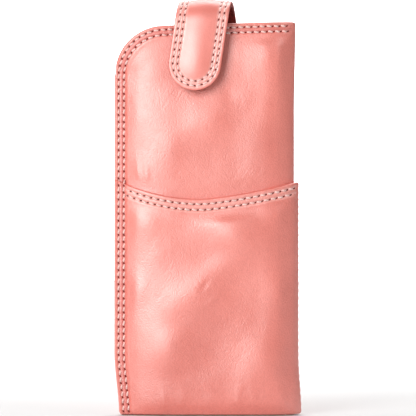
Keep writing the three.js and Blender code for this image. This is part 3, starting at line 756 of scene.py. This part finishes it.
def pocket_row(v, shares, sides, lift, below, foot, detail=0.0):
    """A row of points across the pocket, a share v of the way up to a line below its rim."""
    x0 = lerp(SEWN_EDGE, FOLD_EDGE, shares)
    z = lerp(foot, pocket_rim(x0) - below, v)
    x = lerp(sewn_edge(z), fold_edge(z) + lift, shares)
    drawn = np.abs(np.sin(np.pi * z / PITCH)) - 0.6
    x = x + detail * SCALLOP * drawn * smooth((shares - 0.975) / 0.02)
    half = half_depth(np.minimum(x, fold_edge(z) + lift), z, -lift, SEAM_HALF + lift)
    side_row = -0.15 * bump((x - fold_edge(z) + SIDE_ROW_IN) / 0.8)
    out = detail * np.where(sides < 0, pocket_relief(x, z), side_row)
    y = MIDDLE_Y + sides * (half + out * np.clip(half / 3, 0, 1))
    return np.stack([x, y, z], -1)


def solid_sheet(name, rows):
    """A closed sheet from rows of points: its outer face, any rolled rim, and its inner face."""
    count, width = len(rows), len(rows[0])
    last = (count - 1) * width
    faces = grid_faces(count, width) + [[j, j + 1, last + j + 1, last + j] for j in range(width - 1)]
    for column in (0, width - 1):
        strip = range(column, count * width, width)
        for low in range((count - 1) // 2):
            corners = [strip[low], strip[low + 1], strip[-2 - low], strip[-1 - low]]
            faces.append(list(dict.fromkeys(corners)))
    return make_mesh(name, np.concatenate(rows), faces)


def build_pocket():
    shares, sides = pocket_stations()
    rim = 91.8
    levels = spread([(0, 0), (2.2, 0.2), (8, 0.45), (84, 0.6), (rim, 0.28)]) / rim
    row = partial(pocket_row, shares=shares, sides=sides, below=0.5, foot=POCKET_FOOT)
    outer = [row(v, lift=POCKET_OUT, detail=1.0) for v in levels]
    inner = [row(v, lift=lerp(POCKET_LIFT, POCKET_HEM_LIFT, smooth((v - 0.89) / 0.02))) for v in levels[::-1]]
    rows = outer + roll_over(outer[-1], inner[0], np.array([0, 0, 0.75])) + inner
    obj = solid_sheet("pocket_leather", rows)
    x, _, z = np.concatenate(rows).T
    on = np.zeros(len(x))
    on[: len(outer) * len(shares)] = 1
    on_back = np.tile(sides, len(rows)) > 0
    d_left = x - sewn_edge(z)
    on_front = on * ~on_back
    for name, inset in EDGE_INSETS:
        set_row(obj, f"edge_{name}", d_left - inset, z, on_front)
    x0 = rim_param(x, z)
    sewn = on_front * (d_left > 5.2) * (x0 < FOLD_EDGE - 1.2)
    for name, inset, shift in RIM_ROWS:
        set_row(obj, f"rim_{name}", pocket_rim(x0) - z - inset, rim_run(x0) + shift, sewn)
    set_row(obj, "side_row", np.where(on_back, x - (fold_edge(z) - SIDE_ROW_IN), 9), z, on * on_back)
    fix_normals(obj)
    finish_piece(obj, "case", POCKET_HIDE, "coral_leather", ["pocket_panel"])


def build_pocket_lining():
    shares, sides = pocket_stations(2.5)
    levels = np.linspace(0, 1, 40)
    outer = [pocket_row(v, shares, sides, 0.7, 11, 1.4) for v in levels]
    inner = [pocket_row(v, shares, sides, 0.35, 11, 1.4) for v in levels[::-1]]
    obj = solid_sheet("pocket_lining_cloth", outer + inner)
    fix_normals(obj)
    finish_piece(obj, "case", LINING_CLOTH, "lining_fabric", ["pocket_lining"])


# ---------------- paddings

PAD_FROM, PAD_TO, PAD_FOOT = 0.15, 0.85, 6.0  # shares of the width, and z


def build_padding(side, name, node):
    """A felted pad with soft, thinned edges, and a round clearing for the press stud's patch."""
    shares = np.linspace(PAD_FROM, PAD_TO, 48)
    rim = rim_height(lerp(SEWN_EDGE, MOUTH_RIGHT, shares)) - HEM_DEPTH - 2
    rows = {1: [], -1: []}
    for v in np.linspace(0, 1, 90):
        z = lerp(PAD_FOOT, rim, v)
        x = lerp(sewn_edge(z), fold_edge(z), shares)
        edge = np.minimum(np.minimum(shares - PAD_FROM, PAD_TO - shares) * 78, np.minimum(v, 1 - v) * 150)
        body = np.sqrt(clip01(edge / 1.6))
        quilt = 0.06 * np.sin(x / 2.1) * np.sin(z / 2.3) * body
        outer, inner = half_depth(x, z, 1.4), half_depth(x, z, 2.4, 1.1)
        thick = (outer - inner) / 2 * lerp(0.15, 1, body)
        if side < 0:
            near = np.hypot(x - STRAP_END[0], z - STRAP_END[1])
            thick = thick * lerp(0.12, 1, smooth((near - 7.6) / 1.5))
        for face, swell in ((1, quilt), (-1, 0)):
            y = MIDDLE_Y + side * ((outer + inner) / 2 + face * thick + swell)
            rows[face].append(np.stack([x, y, z], -1))
    obj = solid_sheet(name, rows[1] + rows[-1][::-1])
    fix_normals(obj)
    finish_piece(obj, "case", FELT, "padding_fleece", [node])


# ---------------- the strap

STUD_FACE_Y = MIDDLE_Y - float(crown_half(STRAP_END[1]))
FRONT_SLOPE = float(crown_half(STRAP_END[1] - 0.5) - crown_half(STRAP_END[1] + 0.5))
STUD_TILT = np.arctan(FRONT_SLOPE)
LEG_OUT = STUD_STACK + STRAP_THICK / 2
END_Z = STRAP_END[1] + LEG_OUT * np.sin(STUD_TILT)


def front_leg_y(z):
    return STUD_FACE_Y - LEG_OUT * np.cos(STUD_TILT) + FRONT_SLOPE * (z - END_Z)


def back_leg_y(z):
    return MIDDLE_Y + crown_half(z) + ANCHOR_GAP + STRAP_THICK / 2


ARCH_BACK, ARCH_FRONT = float(back_leg_y(ARCH_FOOT)), float(front_leg_y(ARCH_FOOT))
LINE_SPARE = 3.0  # how far the middle line goes on past the strap's sewn end


def strap_line():
    """The strap's middle line in y, z from its sewn end over the mouth to its round end."""
    z = np.linspace(ANCHOR_LOW - LINE_SPARE, ARCH_FOOT, 50)
    up = (z - ANCHOR_LOW) / (ARCH_FOOT - ANCHOR_LOW)
    back = np.stack([lerp(back_leg_y(ANCHOR_LOW), ARCH_BACK, up), z], -1)
    a = np.linspace(0, np.pi, 160)[1:-1]
    half = (ARCH_BACK - ARCH_FRONT) / 2
    rise = STRAP_TOP - STRAP_THICK / 2 - ARCH_FOOT
    over = np.stack([(ARCH_BACK + ARCH_FRONT) / 2 + half * np.cos(a), ARCH_FOOT + rise * np.sin(a)], -1)
    z = np.linspace(ARCH_FOOT, END_Z - STRAP_HALF - 2, 60)
    line = np.concatenate([back, over, np.stack([front_leg_y(z), z], -1)])
    lengths = np.linalg.norm(np.diff(line, axis=0), axis=1)
    run = np.concatenate([[0], np.cumsum(lengths)]) - LINE_SPARE
    tangent = np.gradient(line, run, axis=0)
    return line, run, tangent / np.linalg.norm(tangent, axis=1, keepdims=True)


LINE, RUN, TANGENT = strap_line()
DOWN_FRONT = LINE[:, 0] < 0
END_RUN = float(np.interp(-END_Z, -LINE[DOWN_FRONT][:, 1], RUN[DOWN_FRONT]))
APEX_RUN = float(RUN[np.argmax(LINE[:, 1])])


def on_strap(p, q, lift):
    """The strap's point p towards its tip from the press stud, q across, lift off its middle."""
    p, q, lift = np.broadcast_arrays(p, q, lift)
    x = STRAP_END[0] + q * np.cos(STRAP_LEAN) - p * np.sin(STRAP_LEAN)
    run = END_RUN + q * np.sin(STRAP_LEAN) + p * np.cos(STRAP_LEAN)
    y, z = np.interp(run, RUN, LINE[:, 0]), np.interp(run, RUN, LINE[:, 1])
    ty, tz = np.interp(run, RUN, TANGENT[:, 0]), np.interp(run, RUN, TANGENT[:, 1])
    return np.stack([x, y + tz * lift, z - ty * lift], -1)


P_APEX = (APEX_RUN - END_RUN) / np.cos(STRAP_LEAN)
P_LOW = (0.4 - END_RUN) / np.cos(STRAP_LEAN)


def side_distance(p, q):
    """How far inside the strap's long edges and its round end a point is."""
    return STRAP_HALF - np.where(p > 0, np.hypot(p, q), np.abs(q))


def strap_run(p, q, inset):
    """Distance along a row round the strap's edge, counted from the tip to both sides."""
    r = STRAP_HALF - inset
    return np.where(p > 0, r * np.arctan2(q, np.maximum(p, 1e-6)), np.sign(q) * (r * np.pi / 2 - p))


def strap_tilt(p, q):
    """The front of the strap lies a little proud at its right side."""
    return 0.06 * q * smooth((p - P_APEX) / 8)


def strap_relief(p, q):
    """What the strap's leather adds to its face: rows of thread, and a soft crown over the press stud."""
    d = np.minimum(side_distance(p, q), p - P_LOW)
    crown = 0.75 * np.sin(np.pi / 2 * clip01((d - 4.3) / 7.0))
    stud = 0.7 * bump(np.hypot((p + 1) / 1.5, q - 1) / 7.0)
    wave = 0.10 * np.sin(p / 7.0 + q / 9.0) * smooth(d / 3)
    return furrow(d, STRAP_ROWS, 0.13) + crown + stud + wave


def strap_section(name, p_values, inset, low, high, corner, detail):
    """A layer of the strap between two lifts, with rounded edges. p_values run towards the tip."""
    half = STRAP_HALF - inset
    t = np.sin(np.linspace(-np.pi / 2, np.pi / 2, 58))
    t = np.sign(t) * (1 - (1 - np.abs(t)) ** 1.15)
    outer, inner, places = [], [], []
    for p in p_values:
        q = t * (np.sqrt(max(half**2 - p**2, 0)) if p > 0 else half)
        d = np.minimum(np.maximum(side_distance(p, q) - inset, 0), max(p - P_LOW - inset, 0))
        sink = corner * rounded(d / corner)
        edge = sink + detail * 0.3 * rounded(d / 1.7)
        tilt = strap_tilt(p, q)
        outer.append(on_strap(p, q, high - edge + detail * strap_relief(p, q) + tilt))
        inner.append(on_strap(p, q, low + sink + tilt))
        places.append(np.stack([np.full_like(q, p), q]))
    obj = solid_sheet(name, outer + inner[::-1])
    p, q = np.concatenate(places + places[::-1], axis=1)
    on = np.repeat([1.0, 0.0], len(p) // 2)
    off_corner = np.abs(p - P_LOW - (STRAP_HALF - np.abs(q)))  # two rows meet at the anchor's corners
    on = on * np.where(p < 0, smooth((off_corner - 0.4) / 0.8), 1.0)
    for row, row_inset in zip(("strap_outer", "strap_inner"), STRAP_ROWS):
        set_row(obj, row, *strap_row_place(p, q, row_inset), on)
    fix_normals(obj)
    obj.data.set_sharp_from_angle(angle=np.radians(50))
    return obj


def strap_row_place(p, q, inset):
    """Distance across and along a row: round the edge, and across the sewn lower end."""
    d, low = side_distance(p, q), p - P_LOW
    return np.minimum(low, d) - inset, np.where(low < d, q, strap_run(p, q, inset))


def blend_span(parent, child, start, end):
    """Two bodies, and the points in y, z where a piece leaves the first and joins the second."""
    return parent, child, *[(0.0, y * MM, z * MM) for y, z in (start, end)]


# The strap's two spans, from the mouth to the top of the arch and from there to the front, each with the two
# bodies it lies between and the points where it leaves and joins them. The spans were chosen so that the
# opened strap keeps its curve as even as two bends can.
REAR_SPAN = blend_span(
    "case", "strap_arch", (ARCH_BACK - 0.15, 162.8), (lerp(ARCH_BACK, ARCH_FRONT, 0.435), 176.0))
FRONT_SPAN = blend_span(
    "strap_arch", "strap_flap", (lerp(ARCH_BACK, ARCH_FRONT, 0.45), 172.4), (ARCH_FRONT - 2.76, 162.9))

LEATHER_LIFT = 1.25
# Layer: inset from the strap's edge, lowest and highest lift, corner radius, share of the relief,
# material, slot, what its CAD nodes are called.
LAYERS = {
    "leather": (0.0, 0.42, LEATHER_LIFT, 0.40, 1.0, STRAP_HIDE, "coral_leather", "leather"),
    "core": (4.6, -0.35, 0.15, 0.1, 0.0, STIFFENER, "reinforcement", "core"),
    "backing": (0.12, -1.25, 0.22, 0.34, 0.0, BACKING_HIDE, "strap_backing", "lining"),
}
TIP_ANGLES = [8, 16, 24, 32, 39, 46, 52, 58, 63, 67.5, 71.5, 75, 78, 80.5, 82.6, 84.4, 86, 87.4, 88.6, 89.5]


def build_strap():
    step = 0.55
    rear_p = spread([(P_LOW, 0), (P_LOW + 1, 0.25), (P_LOW + 6, step), (P_APEX, step)])
    front_p = spread([(P_APEX, 0), (0, step)])
    for layer, (inset, low, high, corner, detail, material, slot, node) in LAYERS.items():
        start = P_LOW + inset
        rear = np.concatenate([[start], rear_p[rear_p > start + 0.05]])
        front = np.concatenate([front_p, (STRAP_HALF - inset) * np.sin(np.radians(TIP_ANGLES))])
        for end, p_values, span, bodies in (("rear", rear, REAR_SPAN, ("anchor",)),
                                            ("front", front, FRONT_SPAN, ("bridge", "flap"))):
            piece = strap_section(f"strap_{layer}_{end}", p_values, inset, low, high, corner, detail)
            finish_piece(piece, None, material, slot, [f"strap_{body}_{node}" for body in bodies], span)


# ---------------- thread

THREAD_SIDES, THREAD_RINGS = 8, 10
STITCH_END = 0.11  # the share of a stitch between its needle hole and where it shows
THREAD_FACES = grid_faces(THREAD_RINGS, THREAD_SIDES, wrap=True)
THREAD_FACES.append(list(range(THREAD_SIDES))[::-1])
THREAD_FACES.append([(THREAD_RINGS - 1) * THREAD_SIDES + k for k in range(THREAD_SIDES)])


def stitches(name, ends, normals, body, replaces, blend=None, radius=0.45, slant=0.26):
    """Short lengths of thread from hole to hole. ends holds pairs of points, normals their outward
    directions: each stitch dives into its holes and arches a little between them."""
    points, faces, ply = [], [], []
    for (a, b), n in zip(ends, normals):
        a, b, n = np.array(a, float), np.array(b, float), unit(np.array(n, float))
        length = np.linalg.norm(b - a)
        side = np.cross(n, unit(b - a))
        wobble = RNG.normal(0, 0.03, 3)
        shade = RNG.uniform(0, 1)
        start = len(points)
        for t in np.linspace(0, 1, THREAD_RINGS):
            arch = np.sin(np.pi * t)
            rise = 0.20 * arch**0.55 - 0.42 * (1 - arch**0.35) + wobble[0]
            lean = slant * (0.5 - t) * 2 + wobble[1]
            centre = lerp(a, b, lerp(STITCH_END, 1 - STITCH_END, t)) + n * rise + side * lean
            r = radius * (0.3 + 0.7 * np.sin(np.pi * t**0.85) ** 0.6)
            for k in range(THREAD_SIDES):
                angle = 2 * np.pi * k / THREAD_SIDES
                points.append(centre + r * (np.cos(angle) * side * 1.05 + np.sin(angle) * n * 0.85))
                ply.append((t * length, angle, shade))
        faces += [[start + corner for corner in face] for face in THREAD_FACES]
    obj = make_mesh(name, points, faces)
    set_row(obj, "ply", *np.transpose(ply))
    finish_piece(obj, body, THREAD_LOOK, "thread", replaces, blend)


def face_point(x, z, side):
    """A point on the case's outermost leather at x, z."""
    x, z = np.float64(x), np.float64(z)
    if side < 0 and z < pocket_rim(rim_param(x, z)) + 0.4:
        out = pocket_relief(x, z) + half_depth(x, z, -POCKET_OUT, SEAM_HALF + POCKET_OUT)
    else:
        out = furrow(edge_distance(x, z), (OUTER_ROW, INNER_ROW)) + half_depth(x, z)
        out += body_relief(x, z) if side < 0 else back_relief(x, z)
    return np.array([x, MIDDLE_Y + side * out, z])


def face_normal(x, z, side, step=0.2):
    """The outward direction of the case's outermost leather at x, z."""
    a = face_point(x + step, z, side) - face_point(x - step, z, side)
    b = face_point(x, z + step, side) - face_point(x, z - step, side)
    n = np.cross(a, b)
    return n * np.sign(n[1] * side)


def first_stitch(start, pitch):
    """Where the first stitch after start begins. The needle holes lie at half pitches."""
    return (np.ceil(start / pitch - 0.5) + 0.5) * pitch


def stitch_starts(start, stop, pitch):
    """Where each whole stitch from start to stop begins."""
    return start + pitch * np.arange(int((stop - start) / pitch + 1e-6))


def run_stitches(name, place, start, stop, side, replaces, phase=0.0):
    """Stitches along a row whose place(u) gives x, z on the front (side -1) or back (1)."""
    starts = stitch_starts(first_stitch(start - phase, PITCH) + phase, stop, PITCH)
    ends = [[face_point(*place(v), side) for v in (u, u + PITCH)] for u in starts]
    normals = [face_normal(*place(u + PITCH / 2), side) for u in starts]
    stitches(name, ends, normals, "case", replaces)


def pocket_rim_point(u, inset):
    """x, z at distance u along a row under the pocket's rim."""
    x0 = float(np.interp(u, RIM_LENGTH, RIM_X))
    z = float(pocket_rim(x0)) - inset
    share = (x0 - SEWN_EDGE) / (FOLD_EDGE - SEWN_EDGE)
    return lerp(sewn_edge(z), fold_edge(z) + POCKET_OUT, share), z


def build_case_thread():
    for row, inset in EDGE_INSETS:
        place = partial(edge_row_point, inset=inset)
        last, strap_left, strap_right = [
            float(edge_run(np.float64(x), np.float64(CASE_HEIGHT), inset)) for x in (35.6, -10.4, 13.8)]
        for name, start, stop, side in (("front_edge", 0.6, last, -1), ("back_edge", 0.6, strap_left, 1),
                                        ("back_rim", strap_right, last, 1)):
            run_stitches(f"{name}_stitches_{row}", place, start, stop, side, [f"{name}_thread_{row}"])
    start, stop = float(rim_run(SEWN_EDGE + 5.4)), float(rim_run(FOLD_EDGE - 1.0))
    for row, inset, shift in RIM_ROWS:
        run_stitches(f"pocket_rim_stitches_{row}", partial(pocket_rim_point, inset=inset), start, stop, -1,
                     [f"pocket_rim_thread_{row}"], -shift)
    build_side_stitches()


def side_row_point(z, dx=0.0):
    x = fold_edge(z) - SIDE_ROW_IN + dx
    half = half_depth(x, z, -POCKET_OUT, SEAM_HALF + POCKET_OUT)
    return np.array([x, MIDDLE_Y + half - 0.15, z])


def build_side_stitches():
    """The row that sews the pocket's end to the back, beside the fold."""
    starts = stitch_starts(PITCH * 1.5, 97, PITCH)
    ends = [(side_row_point(z), side_row_point(z + PITCH)) for z in starts]
    normals = [np.cross([0, 0, 1.0], side_row_point(z, 0.3) - side_row_point(z, -0.3)) for z in starts]
    stitches("pocket_side_stitches", ends, normals, "case", ["pocket_side_thread"])


def strap_edge_point(u, inset):
    """p, q at distance u from the tip along a row round the strap's edge."""
    r = STRAP_HALF - inset
    straight = abs(u) - r * np.pi / 2
    return (-straight, np.sign(u) * r) if straight > 0 else (r * np.cos(u / r), r * np.sin(u / r))


def anchor_point(u, inset):
    """p, q at distance u along a row across the strap's sewn end."""
    return P_LOW + inset, u


def strap_stitches(name, runs, replaces, blend):
    """Stitches round the strap. runs are (start, stop, place) with place(u) giving p, q."""

    def at(p, q):
        return on_strap(p, q, LEATHER_LIFT + strap_relief(np.float64(p), np.float64(q)) + strap_tilt(p, q))

    ends, normals = [], []
    for start, stop, place in runs:
        for u in stitch_starts(first_stitch(start, STRAP_PITCH), stop, STRAP_PITCH):
            middle = place(u + STRAP_PITCH / 2)
            ends.append((at(*place(u)), at(*place(u + STRAP_PITCH))))
            normals.append(on_strap(*middle, 1.0) - on_strap(*middle, 0.0))
    stitches(name, ends, normals, None, replaces, blend, slant=STRAP_SLANT)


def build_strap_thread():
    for row, inset in zip(("outer", "inner"), STRAP_ROWS):
        r = STRAP_HALF - inset
        to_apex = r * np.pi / 2 - P_APEX
        to_low = r * np.pi / 2 - P_LOW - inset
        around = partial(strap_edge_point, inset=inset)
        threads = [f"{part}_thread_{row}" for part in ("flap", "bridge_left", "bridge_right")]
        strap_stitches(f"flap_stitches_{row}", [(-to_apex, to_apex, around)], threads, FRONT_SPAN)
        last = (np.floor(to_apex / STRAP_PITCH - 0.5) + 0.5) * STRAP_PITCH
        rear = [(-to_low, -last, around), (last, to_low, around),
                (1.2 - r, r - 1.2, partial(anchor_point, inset=inset))]
        strap_stitches(f"anchor_stitches_{row}", rear, [f"anchor_thread_{row}"], REAR_SPAN)


def build_foot_seam():
    lo, hi = box_mm("foot_seam_thread")
    pitch, height = 2.6, 1.75
    starts = stitch_starts(lo[0], hi[0], pitch)
    ends = [((x, MIDDLE_Y, height), (x + pitch, MIDDLE_Y, height)) for x in starts]
    stitches("foot_seam_stitches", ends, [(0, 0, 1)] * len(ends), "case", ["foot_seam_thread"],
             radius=0.25, slant=0.0)


# ---------------- the press stud

# Piece: its body, and its turned profile as (radius, height off the case's leather).
PRESS_STUD = {
    "snap_stud_metal": ("case", [
        (0, 1.45), (1.25, 1.45), (1.25, 0.35), (4.2, 0.35), (4.45, 0.45), (4.45, 0.58), (4.1, 0.66),
        (1.9, 0.8), (1.7, 0.95), (1.6, 1.25), (1.75, 1.5), (1.95, 1.7), (1.95, 1.85), (1.75, 2.0),
        (1.2, 2.08), (0, 2.1)]),
    "snap_stud_rivet_metal": ("case", [
        (0, -2.4), (3.7, -2.4), (3.95, -2.3), (3.9, -2.18), (0.95, -2.1), (0.95, 1.15), (0, 1.15)]),
    "snap_stud_patch_cloth": ("case", [
        (1.6, -1.95), (7.4, -1.95), (7.5, -1.85), (7.5, -1.65), (7.4, -1.55), (1.6, -1.55), (1.6, -1.95)]),
    "snap_socket_metal": ("strap_flap", [
        (2.6, 1.2), (2.75, 1.1), (4.2, 1.05), (4.9, 1.15), (5.3, 1.5), (5.4, 1.9), (5.4, 2.5), (5.3, 2.6),
        (1.3, 2.6), (1.3, 2.35), (3.6, 2.35), (3.6, 1.4), (2.7, 1.4), (2.6, 1.3), (2.6, 1.2)]),
    "snap_spring_wire": ("strap_flap", [
        (2.35, 1.87), (2.46, 1.7), (2.72, 1.65), (2.98, 1.7), (3.1, 1.87), (2.98, 2.05), (2.72, 2.1),
        (2.46, 2.05), (2.35, 1.87)]),
    "snap_socket_rivet_metal": ("strap_flap", [
        (0, 2.35), (0.95, 2.35), (0.95, 3.8), (4.9, 3.82), (5.0, 3.95), (5.0, 4.15), (4.9, 4.28), (0, 4.3)]),
}
TURNED_SIDES = 56


def build_press_stud():
    out = np.array([0, -np.cos(STUD_TILT), np.sin(STUD_TILT)])
    side = np.array([1.0, 0, 0])
    up = np.cross(out, side)
    origin = np.array([STRAP_END[0], STUD_FACE_Y, STRAP_END[1]])
    turn = 2 * np.pi * np.arange(TURNED_SIDES)[:, None] / TURNED_SIDES
    around = np.cos(turn) * side + np.sin(turn) * up
    for name, (body, profile) in PRESS_STUD.items():
        node, stuff = name.rsplit("_", 1)
        look = (STIFFENER, "reinforcement") if stuff == "cloth" else (METAL_LOOK, "snap_metal")
        rings = [origin + out * height + radius * around for radius, height in profile]
        obj = make_mesh(name, np.concatenate(rings), grid_faces(len(profile), TURNED_SIDES, wrap=True))
        fix_normals(obj)
        bevel = obj.modifiers.new("edges", "BEVEL")
        bevel.width = 0.06 * MM
        bevel.segments = 2
        bevel.limit_method = "ANGLE"
        finish_piece(obj, body, *look, [node])


# ---------------- studio

VIEW_HEIGHT, VIEW_MIDDLE = 0.1801, 0.0894  # metres across the picture, and at its middle
CAMERA_AWAY, SENSOR = 1.2, 36.0


def area(name, location, target, size, power, colour=(1, 1, 1)):
    light = bpy.data.lights.new(name, "AREA")
    light.shape = "RECTANGLE"
    light.size, light.size_y = size
    light.energy = power
    light.color = colour
    obj = bpy.data.objects.new(name, light)
    obj.location = location
    obj.rotation_euler = (Vector(target) - Vector(location)).to_track_quat("-Z", "Y").to_euler()
    bpy.context.scene.collection.objects.link(obj)
    return light


def paper(name, size, location, tilt, grey, glow):
    """A white plane of the studio, lit a little from within."""
    bpy.ops.mesh.primitive_plane_add(size=size, location=location, rotation=(tilt, 0, 0))
    plane = bpy.context.object
    plane.name = name
    plane.data.materials.append(Nodes(f"{name}_paper").surface(
        Base_Color=(grey, grey, grey, 1), Roughness=0.9, Specular_IOR_Level=0.1,
        Emission_Color=(1, 1, 1, 1), Emission_Strength=glow))
    return plane


def build_studio():
    scene = bpy.context.scene
    world = bpy.data.worlds.new("studio")
    world.use_nodes = True
    background = world.node_tree.nodes["Background"]
    background.inputs[0].default_value = (1.0, 0.985, 0.975, 1)
    background.inputs[1].default_value = 0.2
    scene.world = world
    scene.view_settings.view_transform = "Standard"
    scene.view_settings.look = "None"

    middle, daylight = (0, 0, 0.09), (1, 0.99, 0.98)
    area("key_left", (-0.58, -0.885, 0.44), middle, (0.64, 0.80), 11.4, daylight)
    area("fill_right", (0.85, -0.72, 0.92), middle, (0.6, 0.6), 3.2, daylight)
    wash = area("floor_wash", (0.0, 1.15, 1.0), (0, 1.2, 0), (1.5, 1.7), 30.0)
    wash.spread = np.radians(125)
    floor = paper("floor", 6, (0, 0, -0.0002), 0, 0.62, 0.06)
    backdrop = paper("backdrop", 1.0, (0, 2.2, 0.5), np.pi / 2, 0.92, 1.0)

    camera = bpy.data.cameras.new("camera")
    camera.sensor_width = SENSOR
    camera.lens = SENSOR * CAMERA_AWAY / VIEW_HEIGHT
    camera.clip_end = 20
    obj = bpy.data.objects.new("camera", camera)
    obj.location = (0.0, -CAMERA_AWAY, VIEW_MIDDLE)
    obj.rotation_euler = (np.pi / 2, 0, 0)
    scene.collection.objects.link(obj)
    scene.camera = obj


build_body()
build_lining()
build_padding(-1, "front_padding_felt", "front_padding")
build_padding(1, "back_padding_felt", "back_padding")
build_foot_seam()
build_pocket()
build_pocket_lining()
build_strap()
build_press_stud()
build_case_thread()
build_strap_thread()
build_studio()
